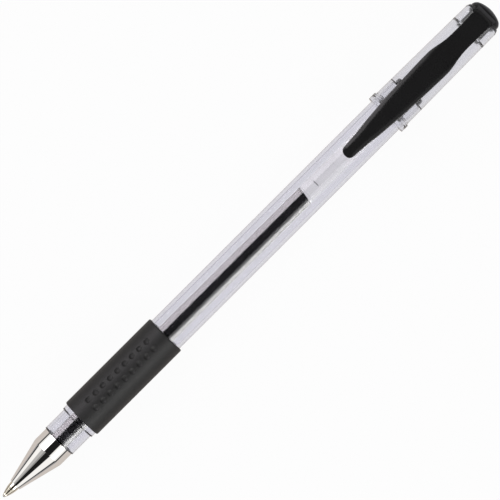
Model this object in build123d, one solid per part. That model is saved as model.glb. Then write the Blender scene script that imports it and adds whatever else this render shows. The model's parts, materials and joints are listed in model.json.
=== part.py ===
"""A capped gel pen, posted: clear barrel, rubber grip, screwed nose cone, refill, clear cap with clip.

All sizes are in millimetres.  Every piece is first drawn on the pen's own axis, with X measured
from the front of the writing ball towards the cap.  `place` then moves it into the shared frame,
where the pen lies along X with its clip upward and the table is at Z = 0.
"""
from build123d import *
from math import cos, pi, radians, sin, sqrt, tan
import os

os.makedirs("parts", exist_ok=True)

# ---------------------------------------------------------------- barrel
barrel_radius = 4.78
barrel_wall = 0.90
shaft_length = 76.35
neck_length = 6.32
neck_step = 0.20
collar_length = 1.20
collar_rise = 0.11
tail_length = 5.60
tail_step = 0.23
tail_wall = 1.30
spigot_length = 3.78
edge_round = 0.25

# ---------------------------------------------------------------- rubber grip
grip_length = 29.35
grip_thickness = 0.85
grip_seat_step = 0.23
grip_edge_round = 0.60
dimple_radius = 0.78
dimple_depth = 0.24
dimple_pitch = 2.485
dimples_per_row = 9
dimple_first = 4.85
row_spread = 28.5
row_pair_angle = 8.5
row_pairs = 3
grip_seam_turn = 20.961

# ---------------------------------------------------------------- nose cone and its thread
nose_taper_length = 11.15
nose_band_length = 3.88
nose_band_step = 0.23
nose_wall = 0.55
nose_band_wall = 0.60
nose_mouth_wall = 0.24
nose_passage_length = 2.15
thread_pitch = 1.50
thread_height = 0.30
thread_clearance = 0.10
thread_root_width = 0.75
thread_crest_width = 0.35
thread_turns = 1.60
thread_start_depth = 0.75
thread_lead_in = 0.20

# ---------------------------------------------------------------- writing point
ball_radius = 0.35
ball_clearance = 0.03
ball_show = 0.20
point_radius = 1.26
point_clearance = 0.05
point_exposed = 4.05
point_taper_length = 3.60
point_length = 10.70
point_feed_radius = 0.40

# ---------------------------------------------------------------- refill
tube_radius = 2.40
tube_wall = 0.60
tube_clearance = 0.40
tube_end_gap = 0.85
stem_length = 7.00
feed_radius = 0.60
adapter_clearance = 0.08
seat_clearance = 0.05
adapter_nose_gap = 0.30
adapter_flange_length = 1.40
ink_length = 81.00
meniscus_tilt = 11.0
grease_length = 11.40
float_start = 3.85
float_length = 6.30
float_radius = 1.10

# ---------------------------------------------------------------- tail plug
knob_length = 1.85
knob_step = 0.48
knob_round = 0.45
bung_clearance = 0.05
bung_length = 6.10
bead_length = 1.40
bead_rise = 0.55
centring_length = 3.00
centring_clearance = 0.10
vent_radius = 0.45

# ---------------------------------------------------------------- cap shell
cap_length = 33.70
cap_wall = 0.67
cap_taper = 0.33
posting_depth = 7.00
lip_length = 2.15
lip_rise = 0.37
lip_round = 0.30
counterbore_depth = 1.60
fit_clearance = 0.05
nose_clearance = 0.10
bore_step_depth = 7.45
end_wall = 4.00
bore_taper = 0.25
floor_cone_length = 1.30
floor_ledge = 0.35
cap_edge_chamfer = 0.50
recess_depth = 1.10
cap_seam_turn = -1.20

# ---------------------------------------------------------------- end plug
flange_step = 0.67
flange_clearance = 0.06
dome_length = 1.45
dome_flat_radius = 1.05
flange_length = 2.10
stem_clearance = 0.06
plug_stem_radius = 3.34
plug_bead_length = 0.85
plug_bead_rise = 0.16
root_length = 1.60

# ---------------------------------------------------------------- clip
clip_length = 46.20
clip_tip_half_width = 1.58
clip_shoulder_half_width = 3.49
clip_neck_half_width = 2.60
clip_shoulder_at = 30.60
clip_neck_at = 37.90
clip_gap = 0.16
clip_blade_thickness = 1.35
clip_neck_thickness = 1.25
clip_blade_rise = 0.42
clip_tip_drop = 0.30
clip_bump_radius = 1.20
clip_bump_from_tip = 2.60
clip_edge_chamfer = 0.42
hinge_gap = 0.02

# ---------------------------------------------------------------- radii that follow from the sizes above
bore_radius = barrel_radius - barrel_wall
neck_radius = barrel_radius - neck_step
neck_bore_radius = bore_radius - neck_step
collar_radius = barrel_radius + collar_rise
grip_seat_radius = barrel_radius - grip_seat_step
grip_radius = grip_seat_radius + grip_thickness
tail_radius = barrel_radius - tail_step
tail_bore_radius = tail_radius - tail_wall

nose_band_radius = neck_radius - nose_band_step
nose_groove_radius = nose_band_radius - nose_band_wall
nose_bore_radius = nose_groove_radius - thread_height
spigot_radius = nose_bore_radius - thread_clearance
thread_crest_radius = nose_groove_radius - thread_clearance
nose_passage_radius = point_radius + point_clearance
nose_mouth_radius = nose_passage_radius + nose_mouth_wall

tube_bore_radius = tube_radius - tube_wall
spigot_bore_radius = tube_radius + tube_clearance
bung_radius = tail_bore_radius - bung_clearance
bead_radius = bung_radius + bead_rise
knob_radius = tail_radius - knob_step
centring_radius = tube_bore_radius - centring_clearance

cap_bore_radius = neck_radius + fit_clearance
cap_counterbore_radius = collar_radius + fit_clearance
cap_mouth_radius = cap_bore_radius + cap_wall
cap_end_radius = cap_mouth_radius - cap_taper
cap_inner_radius = nose_band_radius + nose_clearance
cap_floor_radius = cap_inner_radius - bore_taper
lip_radius = cap_mouth_radius + lip_rise
flange_radius = cap_end_radius - flange_step
plug_hole_radius = plug_stem_radius + stem_clearance

# ---------------------------------------------------------------- stations along the pen, from the ball
nose_front = point_exposed
band_front = nose_front + nose_taper_length
neck_front = band_front + nose_band_length
spigot_front = neck_front - spigot_length
thread_start = spigot_front + thread_start_depth
collar_front = neck_front + neck_length
grip_front = collar_front + collar_length
grip_rear = grip_front + grip_length
tail_front = grip_rear + shaft_length
barrel_end = tail_front + tail_length

adapter_rear = spigot_front - seat_clearance
tube_front = adapter_rear + 0.20
bung_front = barrel_end - bung_length
tube_rear = bung_front - tube_end_gap
ink_front = tube_front + stem_length
ink_rear = ink_front + ink_length
grease_rear = ink_rear + grease_length

cap_mouth = barrel_end - posting_depth
cap_end = cap_mouth + cap_length
recess_floor = cap_end - recess_depth
cap_floor = recess_floor - end_wall
plug_end = recess_floor + flange_length + dome_length
clip_root = recess_floor - 0.25
clip_tip = clip_root - clip_length

half_length = plug_end / 2
axis_height = lip_radius


def turned(points):
    """Solid of revolution about the pen's axis, from (station, radius) corners."""
    outline = Polyline([(x, r) for x, r in points], close=True)
    return revolve(make_face(outline), axis=Axis.X)


def rod(start, end, radius):
    """Plain cylinder on the pen's axis between two stations."""
    return turned([(start, 0), (start, radius), (end, radius), (end, 0)])


def tube(start, end, outer, inner):
    """Plain tube on the pen's axis between two stations."""
    return turned([(start, inner), (start, outer), (end, outer), (end, inner)])


def thread_ridge(start, turns, base_radius, crest_radius, base_width, crest_width):
    """Right-handed helical ridge about the pen's axis, its foot sunk a little into its core."""
    foot = 0.06
    slope = (base_width - crest_width) / (crest_radius - base_radius)
    path = Helix(pitch=thread_pitch, height=thread_pitch * turns, radius=base_radius)
    section = Plane(origin=path @ 0, x_dir=(1, 0, 0), z_dir=path % 0)
    rise = crest_radius - base_radius
    foot_half = (base_width + slope * foot) / 2
    crest_half = crest_width / 2
    corners = [(-foot, -foot_half), (rise, -crest_half), (rise, crest_half), (-foot, foot_half)]
    profile = section * make_face(Polyline(corners, close=True))
    ridge = sweep(profile, path=path, is_frenet=True)
    return Pos(start, 0, 0) * Rot(0, 90, 0) * ridge


def place(shape):
    """Moves a piece from the pen's own axis into the shared frame."""
    return Pos(-half_length, 0, axis_height) * shape


def outer_taper(x):
    """Outer radius of the nose cone at a station on its taper."""
    share = (x - nose_front) / nose_taper_length
    return nose_mouth_radius + share * (nose_band_radius - nose_mouth_radius)


# ================================================================ barrel
barrel = turned([
    (spigot_front, spigot_bore_radius),
    (spigot_front, spigot_radius - edge_round),
    (spigot_front + edge_round, spigot_radius),
    (neck_front, spigot_radius),
    (neck_front, neck_radius - edge_round),
    (neck_front + edge_round, neck_radius),
    (collar_front, neck_radius),
    (collar_front, collar_radius),
    (grip_front, collar_radius),
    (grip_front, grip_seat_radius),
    (grip_rear, grip_seat_radius),
    (grip_rear, barrel_radius),
    (tail_front - edge_round, barrel_radius),
    (tail_front, tail_radius),
    (barrel_end - 2 * edge_round, tail_radius),
    (barrel_end - 0.6 * edge_round, tail_radius - 0.5 * edge_round),
    (barrel_end, tail_radius - 1.4 * edge_round),
    (barrel_end, tail_bore_radius),
    (barrel_end - tail_length + 1.30, tail_bore_radius),
    (barrel_end - tail_length + 1.20, bore_radius),
    (grip_front + 1.0, bore_radius),
    (grip_front, neck_bore_radius),
    (neck_front + 1.0, neck_bore_radius),
    (neck_front + 0.4, spigot_bore_radius),
])
barrel += thread_ridge(
    thread_start,
    thread_turns,
    spigot_radius,
    thread_crest_radius,
    thread_root_width,
    thread_crest_width,
)

# ================================================================ rubber grip
# Its seam line, and the cap's, are turned so that both lie flat on the table.
grip = Rot(grip_seam_turn, 0, 0) * tube(grip_front, grip_rear, grip_radius, grip_seat_radius)
grip_rims = grip.edges().filter_by(GeomType.CIRCLE).group_by(SortBy.RADIUS)[-1]
grip = fillet(grip_rims, grip_edge_round)
ball_of_dimple = (dimple_radius**2 + dimple_depth**2) / (2 * dimple_depth)
dimples = []
for pair in range(row_pairs):
    for side in (-0.5, 0.5):
        turn = row_pair_angle + side * row_spread + pair * 360 / row_pairs
        for count in range(dimples_per_row):
            x = grip_front + dimple_first + count * dimple_pitch
            reach = grip_radius - dimple_depth + ball_of_dimple
            dimples.append(Rot(-turn, 0, 0) * Pos(x, 0, reach) * Sphere(ball_of_dimple))
grip -= dimples

# ================================================================ nose cone
passage_end = nose_front + nose_passage_length
cavity_front = passage_end + 1.20
cavity_end = band_front - 1.30
nose_cone = turned([
    (nose_front, nose_passage_radius),
    (nose_front, nose_mouth_radius - 0.06),
    (nose_front + 0.06, nose_mouth_radius),
    (band_front, nose_band_radius - 0.05),
    (band_front + 0.05, nose_band_radius),
    (neck_front + 2 * thread_pitch, nose_band_radius),
    (neck_front + 2 * thread_pitch, nose_bore_radius),
    (cavity_end, nose_bore_radius),
    (cavity_front, outer_taper(cavity_front) - nose_wall),
    (passage_end, nose_passage_radius),
])
flank = (thread_root_width - thread_crest_width) / thread_height
groove_root_width = thread_root_width + (2 - flank) * thread_clearance
groove_crest_width = thread_crest_width + (2 - flank) * thread_clearance
groove_turns = (neck_front - spigot_front + 0.5 * thread_pitch) / thread_pitch
nose_cone -= Rot(180, 0, 0) * thread_ridge(
    thread_start - 0.5 * thread_pitch,
    groove_turns,
    nose_bore_radius,
    nose_groove_radius,
    groove_root_width,
    groove_crest_width,
)
nose_cone -= Pos(neck_front, 0, 0) * Box(
    20, 20, 20, align=(Align.MIN, Align.CENTER, Align.CENTER)
)
nose_cone -= turned([
    (neck_front - thread_lead_in, nose_bore_radius),
    (neck_front + 0.1, nose_bore_radius + thread_lead_in + 0.1),
    (neck_front + 0.1, nose_bore_radius),
])
nose_cone -= turned([
    (neck_front - 0.15, nose_band_radius + 0.01),
    (neck_front + 0.1, nose_band_radius + 0.01),
    (neck_front + 0.1, nose_band_radius - 0.25),
])

# ================================================================ writing point: socket and ball
ball_centre = ball_radius
socket_front = ball_show
cavity_radius = ball_radius + ball_clearance
socket = turned([
    (socket_front, 0),
    (socket_front, 0.365),
    (0.90, 0.64),
    (0.45 * point_taper_length, 0.885),
    (0.65 * point_taper_length, 1.09),
    (0.85 * point_taper_length, 0.96 * point_radius),
    (point_taper_length, point_radius),
    (point_length, point_radius),
    (point_length, 0),
])
socket -= rod(ball_centre, point_length + 1, point_feed_radius * 0.5)
socket -= rod(ball_centre + 1.0, point_length + 1, point_feed_radius)
socket -= Pos(ball_centre, 0, 0) * Sphere(cavity_radius)
ball = Pos(ball_centre, 0, 0) * Sphere(ball_radius)

# ================================================================ refill
adapter_front = cavity_front + 0.35
flange_front = adapter_rear - adapter_flange_length
adapter_seat_radius = outer_taper(cavity_end) - nose_wall - adapter_clearance
adapter_flange_radius = min(adapter_seat_radius, nose_bore_radius - adapter_nose_gap)
seat_front = cavity_end - 1.20
seat_radius = outer_taper(seat_front) - nose_wall - adapter_clearance - 0.05
front_radius = outer_taper(adapter_front) - nose_wall - adapter_nose_gap
tip_adapter = turned([
    (adapter_front, point_radius),
    (adapter_front, front_radius),
    (seat_front, seat_radius),
    (flange_front, adapter_flange_radius),
    (adapter_rear, adapter_flange_radius),
    (adapter_rear, tube_radius),
    (tube_front, tube_radius),
    (tube_front, tube_bore_radius),
    (ink_front, tube_bore_radius),
    (ink_front, feed_radius),
    (point_length, feed_radius),
    (point_length, point_radius),
])
ink_tube = tube(tube_front, tube_rear, tube_radius, tube_bore_radius)

meniscus = Pos(ink_rear, 0, 0) * Rot(0, 0, meniscus_tilt) * Box(
    60, 40, 40, align=(Align.MIN, Align.CENTER, Align.CENTER)
)
column = rod(ink_front, grease_rear, tube_bore_radius)
ink = (column - meniscus) + rod(point_length, ink_front + 0.5, feed_radius)
ink += rod(ball_centre + 1.2, point_length + 0.5, point_feed_radius)

float_front = ink_rear + float_start
float_rear = float_front + float_length
follower_float = turned([
    (float_front, 0),
    (float_front, float_radius - 0.3),
    (float_front + 0.3, float_radius),
    (float_rear - 0.3, float_radius),
    (float_rear, float_radius - 0.3),
    (float_rear, 0),
])
follower_grease = (column & meniscus) - follower_float

# ================================================================ tail plug
tail_plug = turned([
    (bung_front - centring_length, vent_radius),
    (bung_front - centring_length, centring_radius - 0.3),
    (bung_front - centring_length + 0.5, centring_radius),
    (bung_front, centring_radius),
    (bung_front, bead_radius - 0.30),
    (bung_front + 0.40, bead_radius),
    (bung_front + bead_length - 0.3, bead_radius),
    (bung_front + bead_length, bung_radius),
    (barrel_end, bung_radius),
    (barrel_end, knob_radius - 0.10),
    (barrel_end + 0.15, knob_radius),
    (barrel_end + knob_length - knob_round, knob_radius),
    (barrel_end + knob_length - 0.3 * knob_round, knob_radius - 0.3 * knob_round),
    (barrel_end + knob_length, knob_radius - knob_round),
    (barrel_end + knob_length, vent_radius),
])

# ================================================================ cap shell
cap_shell = turned([
    (cap_mouth, cap_counterbore_radius),
    (cap_mouth, lip_radius - lip_round),
    (cap_mouth + 0.3 * lip_round, lip_radius - 0.3 * lip_round),
    (cap_mouth + lip_round, lip_radius),
    (cap_mouth + lip_length - lip_round, lip_radius),
    (cap_mouth + lip_length, lip_radius - lip_round),
    (cap_mouth + lip_length + 0.15, cap_mouth_radius),
    (cap_end - cap_edge_chamfer, cap_end_radius),
    (cap_end, cap_end_radius - cap_edge_chamfer),
    (cap_end, flange_radius + flange_clearance),
    (recess_floor, flange_radius + flange_clearance),
    (recess_floor, plug_hole_radius),
    (cap_floor, plug_hole_radius),
    (cap_floor, plug_hole_radius + floor_ledge),
    (cap_floor - floor_cone_length, cap_floor_radius),
    (cap_mouth + bore_step_depth + 0.2, cap_inner_radius),
    (cap_mouth + bore_step_depth, cap_bore_radius),
    (cap_mouth + counterbore_depth + 0.3, cap_bore_radius),
    (cap_mouth + counterbore_depth, cap_counterbore_radius),
])
cap_shell = Rot(cap_seam_turn, 0, 0) * cap_shell
notch_side = clip_neck_half_width + 0.12
notch = Pos(recess_floor - 0.10, 0, flange_radius - 1.0) * Box(
    6, 2 * notch_side, 6, align=(Align.MIN, Align.CENTER, Align.MIN)
)
cap_shell -= notch

# ================================================================ clip and end plug
neck_under = cap_mouth_radius - 0.6 * cap_taper + clip_gap
neck_top = neck_under + clip_neck_thickness
blade_under = lip_radius + clip_gap + clip_blade_rise
blade_top = blade_under + clip_blade_thickness
outline_points = [
    (clip_root, clip_neck_half_width),
    (clip_tip + 0.5 * (clip_neck_at + clip_length), clip_neck_half_width - 0.02),
    (clip_tip + clip_neck_at, clip_neck_half_width + 0.03),
    (clip_tip + 0.5 * (clip_neck_at + clip_shoulder_at), 0.92 * clip_shoulder_half_width),
    (clip_tip + clip_shoulder_at, clip_shoulder_half_width),
    (clip_tip + 0.78 * clip_shoulder_at, 0.950 * clip_shoulder_half_width),
    (clip_tip + 0.54 * clip_shoulder_at, 0.848 * clip_shoulder_half_width),
    (clip_tip + 0.36 * clip_shoulder_at, 0.728 * clip_shoulder_half_width),
    (clip_tip + 0.21 * clip_shoulder_at, 0.25 * clip_tip_half_width + 0.46 * clip_shoulder_half_width),
    (clip_tip + 0.95 * clip_tip_half_width, clip_tip_half_width),
]
one_side = Spline([(x, y) for x, y in outline_points])
other_side = mirror(one_side, about=Plane.XZ)
tip_arc = ThreePointArc(one_side @ 1, (clip_tip, 0), other_side @ 1)
root_line = Line(one_side @ 0, other_side @ 0)
clip_plan = make_face([one_side, tip_arc, other_side, root_line])
clip_plan = extrude(clip_plan, amount=30)

bend_end = clip_tip + clip_shoulder_at + 0.5
bend_start = clip_tip + clip_neck_at - 1.0
tip_under = blade_under - clip_tip_drop
tip_top = blade_top - clip_tip_drop
side_points = [
    (clip_root, neck_top),
    (bend_start, neck_top + 0.05),
    (bend_end, blade_top),
    (clip_tip + 12, blade_top - 0.35 * clip_tip_drop),
    (clip_tip + 1.5, tip_top - 0.15),
    (clip_tip, tip_top - 0.75),
    (clip_tip, tip_under + 0.10),
    (clip_tip + 0.6, tip_under),
    (clip_tip + 12, blade_under - 0.35 * clip_tip_drop),
    (bend_end - 0.6, blade_under),
    (bend_start - 0.5, neck_under),
    (clip_root, neck_under),
]
side_face = make_face(Polyline([(x, 0, z) for x, z in side_points], close=True))
side_slab = extrude(side_face, amount=10, both=True, dir=(0, 1, 0))
clip = clip_plan & side_slab
bump_height = tip_under - 0.42 * clip_bump_radius
bump = Pos(clip_tip + clip_bump_from_tip, 0, bump_height + clip_bump_radius) * Rot(90, 0, 0)
bump_roll = bump * Cylinder(clip_bump_radius, 2.2)
keep_below = Pos(clip_tip, 0, tip_under + 0.3) * Box(
    10, 10, 10, align=(Align.MIN, Align.CENTER, Align.MAX)
)
clip += bump_roll & keep_below
long_edges = []
for edge in clip.edges():
    middle = edge @ 0.5
    off_axis = abs(middle.Y) > 0.8 * clip_tip_half_width
    outer = middle.Z > neck_top - 0.1 and middle.X < bend_end
    if off_axis and outer and middle.X > clip_tip + 2 and edge.length > 2:
        upper = middle.Z > blade_top - clip_tip_drop - 0.6
        if upper:
            long_edges.append(edge)
clip = chamfer(long_edges, clip_edge_chamfer)

flange_rear = recess_floor + flange_length
dome_points = [
    (recess_floor, plug_stem_radius),
    (recess_floor, flange_radius - 0.15),
    (recess_floor + 0.15, flange_radius),
    (flange_rear - 0.2, flange_radius),
    (flange_rear + 0.05, 0.95 * flange_radius),
    (flange_rear + 0.30 * dome_length, 0.84 * flange_radius),
    (flange_rear + 0.56 * dome_length, 0.67 * flange_radius),
    (flange_rear + 0.80 * dome_length, 0.47 * flange_radius),
    (plug_end - 0.10, dome_flat_radius),
    (plug_end, dome_flat_radius - 0.15),
    (plug_end, 0),
]
stem_front = cap_floor - plug_bead_length
stem_points = [
    (stem_front + 1.2, 0),
    (stem_front + 1.2, 0.55 * plug_stem_radius),
    (stem_front, 0.62 * plug_stem_radius),
    (stem_front, plug_stem_radius - 0.15),
    (stem_front + 0.25, plug_stem_radius + plug_bead_rise),
    (cap_floor - 0.12, plug_stem_radius + plug_bead_rise),
    (cap_floor - 0.02, plug_stem_radius),
]
end_plug = turned(stem_points + dome_points)

root_front = clip_root + hinge_gap
root_points = [
    (root_front, neck_under),
    (root_front, neck_top),
    (root_front + 0.55 * root_length, neck_top - 0.12),
    (root_front + 1.10 * root_length, neck_top - 0.75),
    (root_front + 1.55 * root_length, flange_radius - 0.35),
    (root_front + 1.55 * root_length, flange_radius - 1.3),
    (recess_floor + 0.05, flange_radius - 1.3),
    (recess_floor + 0.05, neck_under),
]
root_face = make_face(Polyline([(x, 0, z) for x, z in root_points], close=True))
root = extrude(root_face, amount=clip_neck_half_width, both=True, dir=(0, 1, 0))
end_plug += root

# ================================================================ files
nodes = {
    "barrel": barrel,
    "grip": grip,
    "tail_plug": tail_plug,
    "nose_cone": nose_cone,
    "tip_socket": socket,
    "ball": ball,
    "tip_adapter": tip_adapter,
    "ink_tube": ink_tube,
    "ink": ink,
    "follower_grease": follower_grease,
    "follower_float": follower_float,
    "cap_shell": cap_shell,
    "end_plug": end_plug,
    "clip": clip,
}
for name, shape in nodes.items():
    placed = place(shape)
    placed.label = name
    export_step(placed, f"parts/{name}.step")
    box = placed.bounding_box()
    print(name, len(placed.solids()), round(placed.volume, 2), box.min, box.max)
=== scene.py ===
"""Looks of a capped gel pen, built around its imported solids.

Every piece is worked out in millimetres on the pen's own axis: a station along the pen, counted
from the front of the writing ball, and a place across it.  `Datum` then carries the points into
the shared frame, where the pen lies along X with its clip upward and the table is at Z = 0.
"""
import json
import logging
import math
from dataclasses import dataclass
from enum import Enum

import bpy
import numpy as np
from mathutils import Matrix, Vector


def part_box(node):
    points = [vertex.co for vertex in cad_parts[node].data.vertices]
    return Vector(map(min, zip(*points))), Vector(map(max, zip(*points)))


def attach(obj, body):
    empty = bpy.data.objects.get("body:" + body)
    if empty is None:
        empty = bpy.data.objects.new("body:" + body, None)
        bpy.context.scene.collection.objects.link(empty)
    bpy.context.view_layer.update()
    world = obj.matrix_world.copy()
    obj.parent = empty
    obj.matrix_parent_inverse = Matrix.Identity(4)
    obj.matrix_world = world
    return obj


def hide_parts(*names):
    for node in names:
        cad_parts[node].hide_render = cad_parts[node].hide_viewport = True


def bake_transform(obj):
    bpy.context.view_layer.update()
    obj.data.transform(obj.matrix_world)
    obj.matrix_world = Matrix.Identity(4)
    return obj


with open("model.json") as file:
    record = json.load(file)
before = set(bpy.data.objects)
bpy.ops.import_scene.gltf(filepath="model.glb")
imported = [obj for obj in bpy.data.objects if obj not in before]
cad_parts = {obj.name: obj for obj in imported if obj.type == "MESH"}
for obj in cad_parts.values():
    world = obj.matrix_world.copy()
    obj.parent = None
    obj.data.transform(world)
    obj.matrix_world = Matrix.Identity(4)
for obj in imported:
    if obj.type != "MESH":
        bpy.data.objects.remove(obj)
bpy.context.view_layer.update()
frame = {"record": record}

log = logging.getLogger("gel_pen")
MM = 0.001
TURN = 2 * math.pi
FINE = 192
STEPS = 4  # points of a rounded corner, besides its two guards
PER_CORNER = STEPS + 2
Pair = tuple[float, float]
Triple = tuple[float, float, float]
Colour = Triple
Vec = np.ndarray
Socket = bpy.types.NodeSocket
Piece = bpy.types.Object


class Body(Enum):
    """Moving groups of the pen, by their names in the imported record."""

    BARREL = "barrel_body"
    REFILL = "refill_body"
    NOSE = "nose_body"
    BALL = "ball_body"
    CAP = "cap_body"
    CLIP = "clip_body"


class Slot(Enum):
    """Material slots of the record that the pieces take their finishes from."""

    CLEAR_BARREL = "clear_barrel"
    CLEAR_CAP = "clear_cap"
    GRIP_RUBBER = "grip_rubber"
    NOSE_CHROME = "nose_chrome"
    POINT_METAL = "point_metal"
    BALL_CARBIDE = "ball_carbide"
    ADAPTER_PLASTIC = "adapter_plastic"
    TUBE_PLASTIC = "tube_plastic"
    BLACK_INK = "black_ink"
    FOLLOWER_GEL = "follower_gel"
    FLOAT_PLASTIC = "float_plastic"
    BLACK_PLASTIC = "black_plastic"


# ---- places and surfaces
@dataclass(frozen=True)
class Datum:
    """Where the pen's own axis lies in the shared frame.

    Attributes:
        front: X of the front of the writing ball, in metres.
        height: Z of the pen's axis, in metres.
    """

    front: float
    height: float

    @classmethod
    def from_record(cls, joints: list[dict]) -> "Datum":
        """Reads the axis from the ball's joint, which stands at the ball's centre.

        Args:
            joints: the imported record's joints.

        Returns:
            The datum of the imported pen.
        """
        centre = next(j["pos_m"] for j in joints if j["name"] == "ball_spin")
        return cls(front=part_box("ball")[0].x, height=centre[2])

    def carry(self, points: Vec) -> Vec:
        """Points in millimetres on the pen's axis, as metres in the shared frame."""
        return np.asarray(points) * MM + np.array([self.front, 0.0, self.height])

    def station(self, along: float) -> float:
        """X in the shared frame of a station along the pen in millimetres."""
        return self.front + along * MM


DATUM = Datum.from_record(frame["record"]["behaviour"]["joints"])


def soften(corners: Vec, rounds: float | Vec, closed: bool = True, steps: int = STEPS) -> Vec:
    """Rounds the corners of one outline or of many at once.

    Each corner becomes a parabola that leaves one side and lands on the other, at most 0.45 of a
    side away from the corner.  A guard point just outside each end keeps the sides flat.

    Args:
        corners: array of (..., corners, 2).
        rounds: how far each parabola reaches along its two sides.
        closed: whether the last corner joins the first.
        steps: points along each parabola.

    Returns:
        Array of (..., corners * (steps + 2), 2).
    """
    corners = np.asarray(corners, float)
    reach = np.broadcast_to(rounds, corners.shape[:-1]).astype(float).copy()
    if not closed:
        reach[..., 0] = 0.0
        reach[..., -1] = 0.0
    back = np.roll(corners, 1, -2) - corners
    ahead = np.roll(corners, -1, -2) - corners
    back_len = np.maximum(np.linalg.norm(back, axis=-1), 1e-9)
    ahead_len = np.maximum(np.linalg.norm(ahead, axis=-1), 1e-9)
    reach = np.minimum(reach, 0.45 * np.minimum(back_len, ahead_len))
    start = back / back_len[..., None] * reach[..., None]
    end = ahead / ahead_len[..., None] * reach[..., None]
    t = np.linspace(0.0, 1.0, steps)[:, None]
    arcs = (1 - t) ** 2 * start[..., None, :] + t**2 * end[..., None, :]
    arcs = np.concatenate([1.1 * start[..., None, :], arcs, 1.1 * end[..., None, :]], axis=-2)
    arcs = arcs + corners[..., None, :]
    return arcs.reshape(*corners.shape[:-2], -1, 2)


def without_repeats(outline: Vec, closed: bool) -> Vec:
    """Drops points of an outline that lie on the one before them."""
    gap = np.linalg.norm(outline - np.roll(outline, 1, 0), axis=1)
    keep = gap > 1e-5
    if not closed:
        keep[0] = True
    return outline[keep]


def smooth_curve(at: Vec, knots: Vec, values: Vec) -> Vec:
    """Cubic curve through knots whose slopes are the slopes between their neighbours."""
    knots, values, at = (np.asarray(a, float) for a in (knots, values, at))
    slopes = np.gradient(values, knots)
    place = np.clip(np.searchsorted(knots, at) - 1, 0, len(knots) - 2)
    width = knots[place + 1] - knots[place]
    t = np.clip((at - knots[place]) / width, 0.0, 1.0)
    one = (1 + 2 * t) * (1 - t) ** 2 * values[place] + t * (1 - t) ** 2 * width * slopes[place]
    two = t**2 * (3 - 2 * t) * values[place + 1] + t**2 * (t - 1) * width * slopes[place + 1]
    return one + two


def smooth_step(x: Vec, low: float, high: float) -> Vec:
    """0 below low, 1 above high and an S curve of x between them."""
    t = np.clip((x - low) / (high - low), 0.0, 1.0)
    return t * t * (3 - 2 * t)


def woven(grid: Vec, rows_meet: bool) -> tuple[Vec, Vec]:
    """Joins a grid of points into faces, its columns running round and meeting.

    A row whose points all coincide becomes one point with triangles round it.

    Args:
        grid: array of (rows, columns, 3).
        rows_meet: whether the last row joins the first, as on a ring.

    Returns:
        The points, and the faces as rows of four indices, outward, with a repeated index where a
        face is a triangle.
    """
    rows, columns, _ = grid.shape
    index = np.arange(rows * columns).reshape(rows, columns)
    pinched = np.ptp(grid, axis=1).max(axis=1) < 1e-7
    index[pinched] = index[pinched][:, :1]
    if rows_meet:
        index = np.vstack([index, index[:1]])
    near, far = index[:-1], index[1:]
    faces = np.stack([near, np.roll(near, -1, 1), np.roll(far, -1, 1), far], -1).reshape(-1, 4)
    used, faces = np.unique(faces, return_inverse=True)
    points, faces = grid.reshape(-1, 3)[used], faces.reshape(-1, 4)
    a, b, c, d = (points[faces[:, k]] for k in range(4))
    volume = np.sum(a * (np.cross(b, c) + np.cross(c, d)))
    return points, faces if volume > 0 else faces[:, ::-1]


def ring_angles(count: int = FINE) -> Vec:
    """Evenly spaced angles round the axis, from the table side towards +Y."""
    return np.arange(count) * TURN / count


def turned(outline: Vec, angles: Vec, lift: Vec | float = 0.0) -> Vec:
    """Carries an outline of (station, radius) points round the axis.

    A point at station s, radius r and angle t lies at (s, r sin t, -r cos t).

    Args:
        outline: array of (rows, 2).
        angles: array of (columns,).
        lift: extra radius at each row and column.

    Returns:
        Array of (rows, columns, 3).
    """
    along = np.broadcast_to(outline[:, :1], (len(outline), len(angles)))
    radius = outline[:, 1:] + np.broadcast_to(lift, along.shape)
    return np.stack([along, radius * np.sin(angles), -radius * np.cos(angles)], -1)


def lay(points: Vec, faces: Vec, name: str, crease: float = 32.0) -> Piece:
    """Puts worked-out points and faces into a Blender object in the shared frame.

    Args:
        points: array of (points, 3) in millimetres on the pen's axis.
        faces: array of (faces, 4) as `woven` gives them.
        name: the piece's name.
        crease: edges sharper than this many degrees stay sharp.

    Returns:
        The new object, smooth shaded.
    """
    first = faces[:, 0] == faces[:, 1]
    second = faces[:, 2] == faces[:, 3]
    outer = faces[:, 0] == faces[:, 3]
    inner = faces[:, 1] == faces[:, 2]
    rims = first | second | outer | inner
    lists = faces[~rims].tolist() + faces[first | outer][:, 1:].tolist()
    lists += faces[(second | inner) & ~first][:, [0, 1, 3]].tolist()
    mesh = bpy.data.meshes.new(name)
    mesh.from_pydata(DATUM.carry(points), [], lists)
    mesh.validate()
    mesh.shade_smooth()
    mesh.set_sharp_from_angle(angle=math.radians(crease))
    piece = bpy.data.objects.new(name, mesh)
    bpy.context.scene.collection.objects.link(piece)
    return piece


def dress(
    piece: Piece,
    finish: "Finish",
    nodes: tuple[str, ...],
    body: Body | None,
) -> Piece:
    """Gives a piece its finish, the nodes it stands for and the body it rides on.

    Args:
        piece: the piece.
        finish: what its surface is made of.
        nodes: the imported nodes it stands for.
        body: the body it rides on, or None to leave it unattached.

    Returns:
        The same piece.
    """
    piece.data.materials.append(finish.material())
    if nodes:
        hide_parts(*nodes)
    if body is not None:
        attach(piece, body.value)
    log.info("%-16s %6d faces", piece.name, len(piece.data.polygons))
    return piece


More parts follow.
